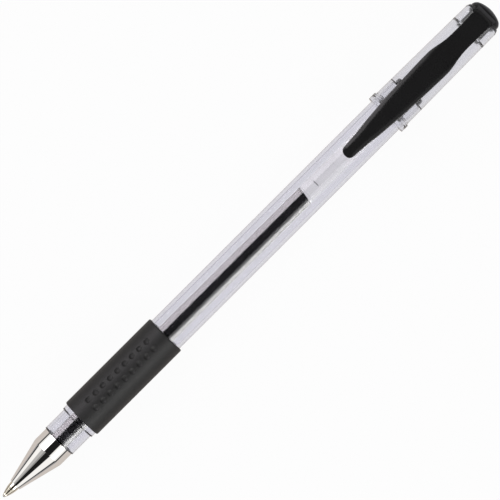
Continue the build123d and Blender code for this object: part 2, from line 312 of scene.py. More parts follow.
def spun(
    corners: list[tuple[float, ...]],
    name: str,
    ring: bool = True,
    crease: float = 32.0,
    rounds: float = 0.0,
    count: int = FINE,
) -> Piece:
    """A piece whose rounded outline is carried round the axis.

    Args:
        corners: (station, radius) of each corner, or (station, radius, rounding).
        name: the piece's name.
        ring: whether the outline closes round a hole; if not, it starts and ends on the axis.
        crease: edges sharper than this many degrees stay sharp.
        rounds: the rounding of corners that state none.
        count: columns round the axis.

    Returns:
        The new object.
    """
    corners = np.array(corners, float)
    if corners.shape[1] == 3:
        corners, rounds = corners[:, :2], corners[:, 2]
    outline = without_repeats(soften(corners, rounds, closed=ring), ring)
    return lay(*woven(turned(outline, ring_angles(count)), ring), name, crease)


# ---- node trees
class Sheet:
    """Short ways to lay the nodes of one material or of the world."""

    def __init__(self, tree: bpy.types.NodeTree) -> None:
        """Starts from an empty tree."""
        self.tree = tree
        tree.nodes.clear()

    def add(self, kind: str, **inputs: object) -> bpy.types.Node:
        """Adds a node and sets or links the inputs named, with _ for a space."""
        node = self.tree.nodes.new(kind)
        for key, value in inputs.items():
            self.feed(node.inputs[key.replace("_", " ")], value)
        return node

    def feed(self, socket: Socket, value: object) -> None:
        """Links a socket to an output, or sets its own value."""
        if isinstance(value, Socket):
            self.tree.links.new(value, socket)
        elif isinstance(value, tuple) and len(value) == 3 and socket.type == "RGBA":
            socket.default_value = (*value, 1.0)
        else:
            socket.default_value = value

    def math(self, operation: str, first: object, second: object = 0.0) -> Socket:
        """One Math node's value."""
        node = self.tree.nodes.new("ShaderNodeMath")
        node.operation = operation
        self.feed(node.inputs[0], first)
        self.feed(node.inputs[1], second)
        return node.outputs[0]

    def plus(self, first: object, *others: object) -> Socket:
        """The sum of some values."""
        for other in others:
            first = self.math("ADD", first, other)
        return first

    def times(self, first: object, *others: object) -> Socket:
        """The product of some values."""
        for other in others:
            first = self.math("MULTIPLY", first, other)
        return first

    def less(self, first: object, second: object) -> Socket:
        """The first value less the second."""
        return self.math("SUBTRACT", first, second)

    def absolute(self, value: object) -> Socket:
        """A value without its sign."""
        return self.math("ABSOLUTE", value)

    def window(self, value: object, low: Pair, high: Pair) -> Socket:
        """1 between two soft edges of a value and 0 beyond them."""
        return self.times(self.ranged(value, *low, (0.0, 1.0)), self.ranged(value, *high, (1.0, 0.0)))

    def dimmed(self, light: object, where: object, share: float) -> Socket:
        """Light that is taken away where a window lies, by a share of it."""
        return self.times(light, self.less(1.0, self.times(where, share)))

    def ranged(self, value: object, low: float, high: float, to: Pair) -> Socket:
        """A value carried from one range to another in an S curve, clamped."""
        node = self.tree.nodes.new("ShaderNodeMapRange")
        node.interpolation_type = "SMOOTHSTEP"
        self.feed(node.inputs["Value"], value)
        node.inputs["From Min"].default_value = low
        node.inputs["From Max"].default_value = high
        node.inputs["To Min"].default_value = to[0]
        node.inputs["To Max"].default_value = to[1]
        return node.outputs[0]

    def place(self, stretch: Triple = (1.0, 1.0, 1.0)) -> Socket:
        """The piece's own coordinates in metres, times a stretch along each axis."""
        spot = self.tree.nodes.new("ShaderNodeTexCoord")
        node = self.tree.nodes.new("ShaderNodeVectorMath")
        node.operation = "MULTIPLY"
        self.feed(node.inputs[0], spot.outputs["Object"])
        node.inputs[1].default_value = stretch
        return node.outputs[0]

    def axes(self) -> tuple[Socket, ...]:
        """X, Y and Z of the piece's own coordinates, in metres."""
        node = self.tree.nodes.new("ShaderNodeSeparateXYZ")
        self.feed(node.inputs[0], self.place())
        return tuple(node.outputs)

    def noise(self, vector: object, scale: float, detail: float = 3.0) -> Socket:
        """Cloudy noise from 0 to 1."""
        node = self.add("ShaderNodeTexNoise", Vector=vector, Scale=scale, Detail=detail)
        return node.outputs["Fac"]

    def blend(self, share: object, first: object, second: object) -> Socket:
        """A mix of two colours."""
        node = self.tree.nodes.new("ShaderNodeMix")
        node.data_type = "RGBA"
        self.feed(node.inputs["Factor"], share)
        self.feed(node.inputs[6], first)
        self.feed(node.inputs[7], second)
        return node.outputs[2]

    def bump(self, height: object, strength: float, depth: float) -> Socket:
        """A surface normal raised by a height, at most depth metres."""
        node = self.add("ShaderNodeBump", Height=height, Strength=strength, Distance=depth)
        return node.outputs[0]

    def path(self, *kinds: str) -> Socket:
        """1 for rays of any of these kinds."""
        node = self.tree.nodes.new("ShaderNodeLightPath")
        total = node.outputs[kinds[0]]
        for kind in kinds[1:]:
            total = self.math("MAXIMUM", total, node.outputs[kind])
        return total

    def mix(self, share: object, first: Socket, second: Socket) -> Socket:
        """A mix of two shaders."""
        node = self.tree.nodes.new("ShaderNodeMixShader")
        self.feed(node.inputs[0], share)
        self.feed(node.inputs[1], first)
        self.feed(node.inputs[2], second)
        return node.outputs[0]

    def surface(self, shader: Socket) -> None:
        """Sends a shader to the material's output."""
        out = self.tree.nodes.new("ShaderNodeOutputMaterial")
        self.feed(out.inputs["Surface"], shader)


# ---- finishes
@dataclass(frozen=True)
class Finish:
    """What a surface is made of.

    Attributes:
        name: the material's name.
        colour: its main colour.
        other: the colour that its uneven places lean to.
    """

    name: str
    colour: Colour
    other: Colour

    def material(self) -> bpy.types.Material:
        """The finish's material, made once."""
        made = bpy.data.materials.get(self.name)
        if made is None:
            made = bpy.data.materials.new(self.name)
            made.use_nodes = True
            self.lay_nodes(Sheet(made.node_tree))
        return made

    def lay_nodes(self, sheet: Sheet) -> None:
        """Lays the finish's nodes."""
        raise NotImplementedError


@dataclass(frozen=True)
class ClearPlastic(Finish):
    """Clear moulded plastic, faintly uneven, through which lamps and soft light pass.

    Attributes:
        ior: how strongly it bends light.
        haze: its roughest polish.
        shade: how much light its one surface lets through.
        line: distance from the middle of a painted dark line of shade along the bore's edge, in metres,
            or 0 for none.
    """

    ior: float = 1.57
    haze: float = 0.02
    shade: Colour = (0.97, 0.97, 0.985)
    line: float = 0.0

    def painted_bore_shade(self, sheet: Sheet) -> Socket:
        """Painted shade: 1 on a hair line along each side of the upper half, at `line` metres from the
        axis.
        """
        _, y, z = sheet.axes()
        off = sheet.absolute(sheet.less(sheet.absolute(y), self.line))
        thin = sheet.ranged(off, 0.00004, 0.00022, (1.0, 0.0))
        side = sheet.ranged(y, -0.001, 0.001, (0.35, 1.0))
        above = sheet.ranged(z, DATUM.height, DATUM.height + 0.0003, (0.0, 1.0))
        return sheet.times(thin, side, above)

    def lay_nodes(self, sheet: Sheet) -> None:
        """Tint by cloudy noise and a painted line of shade, polish by long streaks, a faint moulding
        ripple.
        """
        cloud = sheet.noise(sheet.place(), 90.0)
        streak = sheet.noise(sheet.place((0.06, 1.0, 1.0)), 2600.0)
        tint = sheet.blend(cloud, self.colour, self.other)
        # Painted shade: a dark hair line along the bore's edge, fainter towards -Y.
        if self.line > 0:
            tint = sheet.blend(self.painted_bore_shade(sheet), tint, (0.55, 0.55, 0.60))
        shader = sheet.add(
            "ShaderNodeBsdfPrincipled",
            Base_Color=tint,
            Roughness=sheet.ranged(streak, 0.45, 0.75, (0.0, self.haze)),
            Transmission_Weight=1.0,
            IOR=self.ior,
            Normal=sheet.bump(sheet.noise(sheet.place((0.06, 1.0, 1.0)), 300.0), 0.03, 0.00001),
        )
        clear = sheet.add("ShaderNodeBsdfTransparent", Color=self.shade)
        share = sheet.path("Is Shadow Ray", "Is Diffuse Ray")
        sheet.surface(sheet.mix(share, shader.outputs[0], clear.outputs[0]))


@dataclass(frozen=True)
class MilkyTube(Finish):
    """Refill tube: clear where its wall is wetted, milky where it is dry.

    Attributes:
        wet_end: X where the wetted length ends, in metres.
        ior: how strongly it bends light.
        sheen_cut: share of its reflection that is left under the barrel.
        marks: X of each stroke of painted shade in metres, and how dark it is from 0 to 1.
        reach: half the length of a stroke across the pen, in metres.
        middle: Y of a stroke's middle, in metres.
    """

    wet_end: float = 0.0
    ior: float = 1.49
    sheen_cut: Colour = (0.04, 0.04, 0.04)
    marks: tuple[Pair, ...] = ()
    reach: float = 0.0013
    middle: float = 0.0003

    def painted_float_shade(self, sheet: Sheet) -> Socket:
        """Painted shade: dark short strokes on the wall's upper side, over the float's two ends."""
        x, y, z = sheet.axes()
        off_side = sheet.absolute(sheet.less(y, self.middle))
        inside = sheet.ranged(off_side, 0.3 * self.reach, self.reach, (1.0, 0.0))
        above = sheet.ranged(z, DATUM.height, DATUM.height + 0.0005, (0.0, 1.0))
        broken = sheet.ranged(sheet.noise(sheet.place(), 1500.0), 0.35, 0.6, (0.5, 1.0))
        inside = sheet.times(inside, above, broken)
        dark = 0.0
        for at, depth in self.marks:
            off = sheet.absolute(sheet.less(x, at))
            line = sheet.times(sheet.ranged(off, 0.00004, 0.00024, (depth, 0.0)), inside)
            dark = sheet.math("MAXIMUM", dark, line)
        return dark

    def lay_nodes(self, sheet: Sheet) -> None:
        """Clearness by a step along the tube, broken a little by noise."""
        cloud = sheet.noise(sheet.place((0.3, 1.0, 1.0)), 300.0)
        dry = sheet.ranged(sheet.axes()[0], self.wet_end, self.wet_end + 0.0006, (0.0, 1.0))
        # Painted shade over the float's two ends, nearly black and opaque there.
        dark = self.painted_float_shade(sheet)
        milk = sheet.times(dry, sheet.ranged(cloud, 0.2, 0.8, (0.42, 0.54)))
        milk = sheet.math("MAXIMUM", milk, dark)
        tint = sheet.blend(dark, sheet.blend(cloud, self.colour, self.other), (0.02, 0.02, 0.03))
        shader = sheet.add(
            "ShaderNodeBsdfPrincipled",
            Base_Color=tint,
            Roughness=sheet.ranged(cloud, 0.3, 0.8, (0.02, 0.12)),
            Transmission_Weight=sheet.less(1.0, milk),
            IOR=self.ior,
            Specular_Tint=self.sheen_cut,
            Normal=sheet.bump(cloud, 0.04, 0.00002),
        )
        clear = sheet.add("ShaderNodeBsdfTransparent", Color=(0.96, 0.96, 0.97))
        share = sheet.path("Is Shadow Ray", "Is Diffuse Ray")
        share = sheet.dimmed(share, milk, 0.6)
        sheet.surface(sheet.mix(share, shader.outputs[0], clear.outputs[0]))


@dataclass(frozen=True)
class Solid(Finish):
    """Opaque plastic, rubber or gel with cloudy colour, uneven polish and a fine grain.

    Attributes:
        polish: its roughness where smoothest and where roughest.
        grain: how many cells of its grain fit in a metre.
        depth: depth of the grain, in metres.
        relief: strength of the grain, from 0 to 1.
        shine: specular level.
        ior: how strongly its skin reflects.
        stretch: how the grain is drawn along the pen, round 1.
        body: how far it hides what is behind it, from 0 to 1.
    """

    polish: Pair = (0.25, 0.4)
    grain: float = 2500.0
    depth: float = 0.00002
    relief: float = 0.15
    shine: float = 0.5
    ior: float = 1.5
    stretch: Triple = (1.0, 1.0, 1.0)
    body: float = 1.0

    def lay_nodes(self, sheet: Sheet) -> None:
        """Colour by broad noise, polish by finer noise, grain as bump."""
        cloud = sheet.noise(sheet.place(), 160.0)
        fine = sheet.noise(sheet.place(self.stretch), self.grain, 4.0)
        shader = sheet.add(
            "ShaderNodeBsdfPrincipled",
            Base_Color=sheet.blend(cloud, self.colour, self.other),
            Roughness=sheet.ranged(fine, 0.3, 0.7, self.polish),
            IOR=self.ior,
            Specular_IOR_Level=self.shine,
            Alpha=self.body,
            Normal=sheet.bump(fine, self.relief, self.depth),
        )
        sheet.surface(shader.outputs[0])


@dataclass(frozen=True)
class Metal(Finish):
    """Bare or plated metal with fine turning marks round its axis.

    Attributes:
        polish: its roughness where smoothest and where roughest.
        marks: how many turning marks fit in a metre.
        relief: strength of the marks, from 0 to 1.
    """

    polish: Pair = (0.02, 0.06)
    marks: float = 9000.0
    relief: float = 0.05

    def lay_nodes(self, sheet: Sheet) -> None:
        """Colour by cloudy noise, polish and bump by noise drawn round the axis."""
        cloud = sheet.noise(sheet.place(), 260.0)
        lines = sheet.noise(sheet.place((1.0, 0.04, 0.04)), self.marks, 2.0)
        shader = sheet.add(
            "ShaderNodeBsdfPrincipled",
            Base_Color=sheet.blend(cloud, self.colour, self.other),
            Metallic=1.0,
            Roughness=sheet.ranged(lines, 0.3, 0.8, self.polish),
            Normal=sheet.bump(lines, self.relief, 0.00001),
        )
        sheet.surface(shader.outputs[0])


INK_END = 103.45
# line puts a painted dark line of shade along the bore's edge.
CLEAR_BARREL = ClearPlastic(
    "barrel_clear_plastic", (0.965, 0.962, 0.985), (0.952, 0.949, 0.975), line=0.00382
)
CLEAR_CAP = ClearPlastic("cap_clear_plastic", (0.96, 0.96, 0.965), (0.945, 0.945, 0.955))
CHROME = Metal(
    "nose_plated_chrome", (0.90, 0.883, 0.862), (0.875, 0.855, 0.83), polish=(0.0, 0.014), relief=0.006
)
POINT_STEEL = Metal(
    "point_turned_metal", (0.80, 0.76, 0.66), (0.68, 0.62, 0.50),
    polish=(0.05, 0.14), marks=14000.0, relief=0.12,
)
CARBIDE = Metal(
    "ball_carbide", (0.06, 0.06, 0.062), (0.045, 0.045, 0.047), polish=(0.05, 0.15), marks=20000.0
)
RUBBER = Solid(
    "grip_soft_rubber", (0.011, 0.011, 0.011), (0.016, 0.016, 0.016),
    polish=(0.46, 0.60), grain=5200.0, depth=0.00003, relief=0.25, shine=0.42,
)
BLACK = Solid(
    "black_moulded_plastic", (0.010, 0.010, 0.0102), (0.014, 0.014, 0.0143),
    polish=(0.14, 0.22), grain=4200.0, depth=0.00001, relief=0.08,
)
PLUG = Solid(
    "black_plug_plastic", (0.008, 0.008, 0.0082), (0.011, 0.011, 0.0113),
    polish=(0.2, 0.3), grain=4200.0, depth=0.00001, relief=0.08, shine=0.4,
)
INK = Solid(
    "black_gel_ink", (0.016, 0.016, 0.017), (0.021, 0.020, 0.022),
    polish=(0.1, 0.2), grain=700.0, relief=0.1, shine=0.0,
)
GREASE = Solid(
    "follower_grease_gel", (0.93, 0.93, 0.935), (0.88, 0.88, 0.89),
    polish=(0.2, 0.35), grain=500.0, depth=0.00004, relief=0.3, shine=0.05, body=0.75,
)
FLOAT = Solid(
    "follower_float_plastic", (0.93, 0.93, 0.935), (0.88, 0.88, 0.89),
    polish=(0.3, 0.45), grain=2400.0, relief=0.2,
)
ADAPTER = Solid(
    "adapter_moulded_plastic", (0.045, 0.045, 0.049), (0.035, 0.035, 0.038),
    polish=(0.26, 0.36), grain=2400.0, relief=0.03, shine=0.05,
)
TUBE = MilkyTube(
    "refill_tube_plastic", (0.985, 0.985, 0.985), (0.96, 0.96, 0.965), DATUM.station(INK_END + 0.2),
    # Strokes of painted shade over the float's front and rear ends.
    marks=((DATUM.station(107.30), 0.9), (DATUM.station(113.70), 0.12)),
)


# ---- thread
@dataclass(frozen=True)
class Thread:
    """Right-hand thread between the barrel's spigot and the nose cone, in millimetres.

    Attributes:
        start: station of the ridge's middle where it begins, on the table side.
        pitch: travel in one turn.
        height: how far the crest stands over the root.
        root: width at the root.
        crest: width at the crest.
        turns: how many turns the ridge makes.
    """

    start: float
    pitch: float = 1.50
    height: float = 0.30
    root: float = 0.75
    crest: float = 0.35
    turns: float = 1.6

    def rise(self, along: Vec, angles: Vec, slack: float = 0.0, endless: bool = False) -> Vec:
        """Height of the ridge at each station and angle.

        The ridge's middle moves one pitch along for each turn.  Its section is a trapezoid of the
        distance to that middle, and it sinks away over a fifth of a turn at both ends.

        Args:
            along: stations, as a column.
            angles: angles, as a row.
            slack: added to both widths, for the groove.
            endless: whether the ridge has no ends.

        Returns:
            The heights as a grid.
        """
        share = angles[None, :] / TURN
        lead = (along[:, None] - self.start) / self.pitch - share
        turn = np.round(lead)
        off = np.abs(lead - turn) * self.pitch
        flank = (self.root - self.crest) / 2
        height = self.height * np.clip(((self.root + slack) / 2 - off) / flank, 0.0, 1.0)
        if endless:
            return height
        run = turn + share
        sinking = smooth_step(run, self.turns - 0.15, self.turns + 0.05)
        return height * smooth_step(run, -0.05, 0.15) * (1 - sinking)


THREAD = Thread(start=16.05)


# ---- writing point and nose cone
@dataclass
class WritingPoint:
    """Turned metal point and its ball, in millimetres."""

    ball_radius: float = 0.35
    radius: float = 1.26
    length: float = 10.70
    taper_end: float = 3.60

    def ball(self) -> Piece:
        """The ball: a half circle carried round the axis."""
        sweep = np.linspace(0.0, math.pi, 33)
        outline = self.ball_radius * np.stack([1 - np.cos(sweep), np.sin(sweep)], -1)
        outline[[0, -1], 1] = 0.0
        piece = lay(*woven(turned(outline, ring_angles(64)), False), "writing_ball")
        return dress(piece, CARBIDE, ("ball",), Body.BALL)

    def socket(self) -> Piece:
        """The socket: crimped lip, three tapers with fine steps between them, straight shank."""
        outline = [
            (0.75, 0.0), (0.26, 0.345), (0.20, 0.350), (0.20, 0.375), (0.55, 0.46), (0.90, 0.64),
            (1.62, 0.885), (2.34, 1.07), (2.40, 1.10), (3.00, 1.205), (self.taper_end, self.radius),
            (self.length, self.radius), (self.length, 0.0),
        ]
        piece = spun(outline, "writing_point", False, 24.0, rounds=0.05)
        return dress(piece, POINT_STEEL, ("tip_socket",), Body.REFILL)

    def build(self) -> list[Piece]:
        """Both pieces."""
        return [self.ball(), self.socket()]


@dataclass
class NoseCone:
    """Plated cone with its straight band and threaded bore, in millimetres."""

    front: float = 4.05
    band_front: float = 15.20
    rear: float = 19.08
    mouth: float = 1.55
    passage: float = 1.31
    band: float = 4.35
    bore: float = 3.45
    wall: float = 0.55

    def build(self) -> list[Piece]:
        """The cone: an outline with its bore, carried round, with the thread's groove let in."""
        cavity_front, cavity_end = 7.40, 13.90
        slope = (self.band - self.mouth) / (self.band_front - self.front)
        cavity = self.mouth + slope * (cavity_front - self.front) - self.wall
        corners = [
            (self.front, self.passage), (self.front, self.mouth), (self.band_front, self.band),
            (self.rear, self.band), (self.rear, self.bore + 0.15), (self.rear - 0.2, self.bore),
            (cavity_end, self.bore), (cavity_front, cavity), (6.20, self.passage),
        ]
        rounds = np.array([0.04, 0.10, 0.12, 0.05, 0.05, 0.05, 0.1, 0.1, 0.1])
        outline = soften(corners, rounds)
        bore = np.stack([np.linspace(self.rear - 0.3, 14.6, 90), np.full(90, self.bore)], -1)
        cut = 6 * PER_CORNER
        outline = np.vstack([outline[:cut], bore, outline[cut:]])
        angles = ring_angles()
        rise = THREAD.rise(outline[:, 0], angles, 0.12, True)
        inside = (outline[:, 1] < self.bore + 0.01) & (outline[:, 0] > 14.9)
        inside &= outline[:, 0] < self.rear - 0.25
        grid = turned(outline, angles, rise * inside[:, None])
        piece = lay(*woven(grid, True), "nose_cone_chrome", 40.0)
        return [dress(piece, CHROME, ("nose_cone",), Body.NOSE)]


# ---- barrel and grip
@dataclass
class Barrel:
    """Clear tube: threaded spigot, neck, collar, seat under the grip, shaft and tail."""

    spigot_front: float = 15.30
    neck_front: float = 19.08
    collar_front: float = 25.40
    grip_front: float = 26.80
    grip_rear: float = 55.65
    tail_front: float = 132.30
    end: float = 137.90
    radius: float = 4.78
    bore: float = 3.88
    spigot: float = 3.35

    def corners(self) -> list[Triple]:
        """Outline as (station, radius, rounding), the outside from front to rear, then the bore."""
        neck, collar, seat, spigot = 4.58, 4.89, 4.55, self.spigot
        tail, tail_bore, neck_bore, spigot_bore = 4.55, 3.25, 3.68, 2.80
        return [
            (self.spigot_front, spigot_bore, 0.05), (self.spigot_front, spigot, 0.20),
            (self.neck_front, spigot, 0.04), (self.neck_front, neck, 0.10),
            (self.collar_front, neck, 0.04), (self.collar_front, collar, 0.06),
            (self.grip_front, collar, 0.05), (self.grip_front, seat, 0.03),
            (self.grip_rear, seat, 0.03), (self.grip_rear, self.radius, 0.05),
            (self.tail_front - 0.60, self.radius, 0.20), (self.tail_front + 0.40, tail, 0.20),
            (self.end, tail, 0.25), (self.end, tail_bore, 0.10),
            (self.tail_front + 1.30, tail_bore, 0.05), (self.tail_front + 1.20, self.bore, 0.05),
            (self.collar_front + 0.30, self.bore, 0.05),
            (self.collar_front + 0.05, neck_bore, 0.05), (self.neck_front + 0.35, neck_bore, 0.05),
            (self.neck_front - 0.10, spigot_bore + 0.30, 0.05),
            (self.neck_front - 1.20, spigot_bore, 0.2),
        ]

    def build(self) -> list[Piece]:
        """The tube: its outline carried round, with the thread's ridge raised on the spigot."""
        corners = np.array(self.corners())
        outline = soften(corners[:, :2], corners[:, 2])
        along = np.linspace(self.spigot_front + 0.25, self.neck_front - 0.1, 90)
        ridge = np.stack([along, np.full(len(along), self.spigot)], -1)
        cut = 2 * PER_CORNER
        outline = without_repeats(np.vstack([outline[:cut], ridge, outline[cut:]]), True)
        angles = ring_angles()
        on_spigot = np.abs(outline[:, 1] - self.spigot) < 0.01
        on_spigot &= outline[:, 0] < self.neck_front - 0.05
        grid = turned(outline, angles, THREAD.rise(outline[:, 0], angles) * on_spigot[:, None])
        piece = lay(*woven(grid, True), "barrel_clear", 40.0)
        return [dress(piece, CLEAR_BARREL, ("barrel",), Body.BARREL)]


@dataclass
class GripSleeve:
    """Soft sleeve with three pairs of rows of round dimples, in millimetres."""

    front: float = 26.80
    rear: float = 55.65
    seat: float = 4.55
    radius: float = 5.40
    edge: float = 1.15
    dimple: float = 0.80
    depth: float = 0.32
    pitch: float = 2.485
    per_row: int = 9
    first: float = 4.65
    pair_angle: float = 8.5
    spread: float = 28.5
    pairs: int = 3

    def rows(self) -> Vec:
        """Angles of the rows of dimples round the sleeve."""
        middles = self.pair_angle + np.arange(self.pairs) * 360.0 / self.pairs
        turns = middles[:, None] + np.array([-0.5, 0.5]) * self.spread
        return np.mod(math.pi - np.radians(turns.ravel()), TURN)

    def angles(self) -> Vec:
        """Columns: even ones, with closer ones across each row of dimples."""
        reach = 1.15 * self.dimple / self.radius
        close = (self.rows()[:, None] + np.linspace(-reach, reach, 23)).ravel()
        even = ring_angles(120)
        gap = np.abs(np.angle(np.exp(1j * (even[:, None] - self.rows())))).min(axis=1)
        return np.sort(np.mod(np.concatenate([even[gap > reach * 1.05], close]), TURN))

    def dents(self, along: Vec, angles: Vec) -> Vec:
        """How deep the surface lies under the plain sleeve.

        Near a dimple's middle, at distance d over the surface, a ball of radius b has sunk in:
        the depth is the square root of b squared less d squared, less the ball's height outside.

        Args:
            along: stations.
            angles: angles round the sleeve.

        Returns:
            Depths as a grid of stations by angles.
        """
        ball = (self.dimple**2 + self.depth**2) / (2 * self.depth)
        middles = self.front + self.first + np.arange(self.per_row) * self.pitch
        off_along = np.abs(along[:, None] - middles).min(axis=1)
        turn = np.angle(np.exp(1j * (angles[:, None] - self.rows())))
        off_round = self.radius * np.abs(turn).min(axis=1)
        apart = off_along[:, None] ** 2 + off_round[None, :] ** 2
        sunk = np.sqrt(np.maximum(ball**2 - apart, 0.0)) - (ball - self.depth)
        soft = 0.02
        return 0.5 * (sunk + np.sqrt(sunk**2 + soft**2)) * (apart < 1.6 * self.dimple**2)

    def build(self) -> list[Piece]:
        """The sleeve: its outline carried round, with the dimples sunk into the outside."""
        middles = self.front + self.first + np.arange(self.per_row) * self.pitch
        close = (middles[:, None] + np.linspace(-1.15, 1.15, 23) * self.dimple).ravel()
        plain = np.arange(self.front + 1.2, self.rear - 1.2, 0.4)
        gap = np.abs(plain[:, None] - middles).min(axis=1)
        along = np.sort(np.concatenate([plain[gap > 1.2 * self.dimple], close]))
        front, rear, seat, radius = self.front, self.rear, self.seat, self.radius
        corners = [(front, seat), (front, radius), (rear, radius), (rear, seat)]
        steps = 2 * STEPS
        outline = soften(corners, np.array([0.05, self.edge, self.edge, 0.05]), steps=steps)
        top = np.stack([along, np.full(len(along), self.radius)], -1)
        cut = 2 * (steps + 2)
        outline = np.vstack([outline[:cut], top, outline[cut:]])
        angles = self.angles()
        outside = outline[:, 1] > self.radius - 1e-6
        grid = turned(outline, angles, -self.dents(outline[:, 0], angles) * outside[:, None])
        piece = lay(*woven(grid, True), "grip_sleeve", 60.0)
        return [dress(piece, RUBBER, ("grip",), Body.BARREL)]


# ---- refill
@dataclass
class Refill:
    """Adapter, tube, ink, follower grease and float, in millimetres."""

    tube_front: float = 15.45
    tube_rear: float = 130.95
    tube_radius: float = 2.40
    bore: float = 1.80
    stem_end: float = 22.45
    ink_end: float = INK_END
    tilt: float = 11.0
    grease_end: float = 114.85
    float_front: float = 107.30
    float_rear: float = 113.60
    float_radius: float = 1.10
    wetting: float = 0.05

    def adapter(self) -> Piece:
        """The adapter between point and tube, an outline carried round."""
        outline = [
            (7.75, 1.26), (7.75, 1.60), (12.70, 2.95), (13.85, 3.15), (15.25, 3.15), (15.25, 2.40),
            (15.45, 2.40), (15.45, self.bore), (self.stem_end, self.bore), (self.stem_end, 0.60),
            (10.70, 0.60), (10.70, 1.26),
        ]
        piece = spun(outline, "tip_adapter_plastic", rounds=0.08)
        return dress(piece, ADAPTER, ("tip_adapter",), Body.REFILL)

    def tube(self) -> Piece:
        """The tube, a thin outline carried round."""
        outline = [
            (self.tube_front, self.bore), (self.tube_front, self.tube_radius),
            (self.tube_rear, self.tube_radius), (self.tube_rear, self.bore),
        ]
        piece = spun(outline, "ink_tube_wall", rounds=0.08)
        return dress(piece, TUBE, ("ink_tube",), Body.REFILL)

    def slanted(self, front: float, rear: float, front_leans: bool) -> tuple[Vec, Vec]:
        """A column in the tube whose one end leans, as a liquid's does.

        The column's stations move by the tangent of the tilt times their place across the pen.

        Args:
            front: station of its front on the axis.
            rear: station of its rear on the axis.
            front_leans: whether the front leans, and not the rear.

        Returns:
            Its points and faces.
        """
        radius = self.bore + self.wetting
        outline = [(front, 0.0), (front, radius), (rear, radius), (rear, 0.0)]
        outline = without_repeats(soften(outline, 0.12, closed=False), False)
        grid = turned(outline, ring_angles())
        share = (outline[:, 0] - front) / (rear - front)
        share = 1 - share if front_leans else share
        lean = math.tan(math.radians(self.tilt)) * grid[..., 1]
        grid[..., 0] += lean * smooth_step(share, 0.9, 1.0)[:, None]
        return woven(grid, False)

    def ink(self) -> Piece:
        """The ink column with its leaning end."""
        piece = lay(*self.slanted(self.stem_end, self.ink_end, False), "ink_column")
        return dress(piece, INK, ("ink",), Body.REFILL)

    def grease(self) -> Piece:
        """The follower grease behind the ink."""
        piece = lay(*self.slanted(self.ink_end, self.grease_end, True), "follower_gel")
        return dress(piece, GREASE, ("follower_grease",), Body.REFILL)

    def float_rod(self) -> Piece:
        """The float in the grease, a rounded rod."""
        front, rear, r = self.float_front, self.float_rear, self.float_radius
        outline = [(front, 0.0), (front, r), (rear, r), (rear, 0.0)]
        piece = spun(outline, "follower_float_rod", False, rounds=0.3, count=FINE // 2)
        return dress(piece, FLOAT, ("follower_float",), Body.REFILL)

    def build(self) -> list[Piece]:
        """All the refill's pieces."""
        return [self.adapter(), self.tube(), self.ink(), self.grease(), self.float_rod()]


@dataclass
class TailPlug:
    """Black plug in the barrel's tail: centring nose, snap bead, bung and knob."""

    front: float = 128.80
    bung_front: float = 131.80
    barrel_end: float = 137.90
    rear: float = 139.75
    vent: float = 0.45

    def build(self) -> list[Piece]:
        """The plug: an outline carried round, with a vent through it."""
        outline = [
            (self.front, self.vent, 0.05), (self.front, 1.45, 0.15), (self.front + 0.5, 1.70, 0.15),
            (self.bung_front, 1.70, 0.05), (self.bung_front, 3.50, 0.10),
            (self.bung_front + 0.40, 3.75, 0.15), (self.bung_front + 1.10, 3.75, 0.15),
            (self.bung_front + 1.40, 3.20, 0.10), (self.barrel_end, 3.20, 0.03),
            (self.barrel_end, 4.07, 0.12), (self.rear, 4.07, 0.50), (self.rear, self.vent, 0.05),
        ]
        piece = spun(outline, "tail_plug_black")
        return [dress(piece, PLUG, ("tail_plug",), Body.BARREL)]


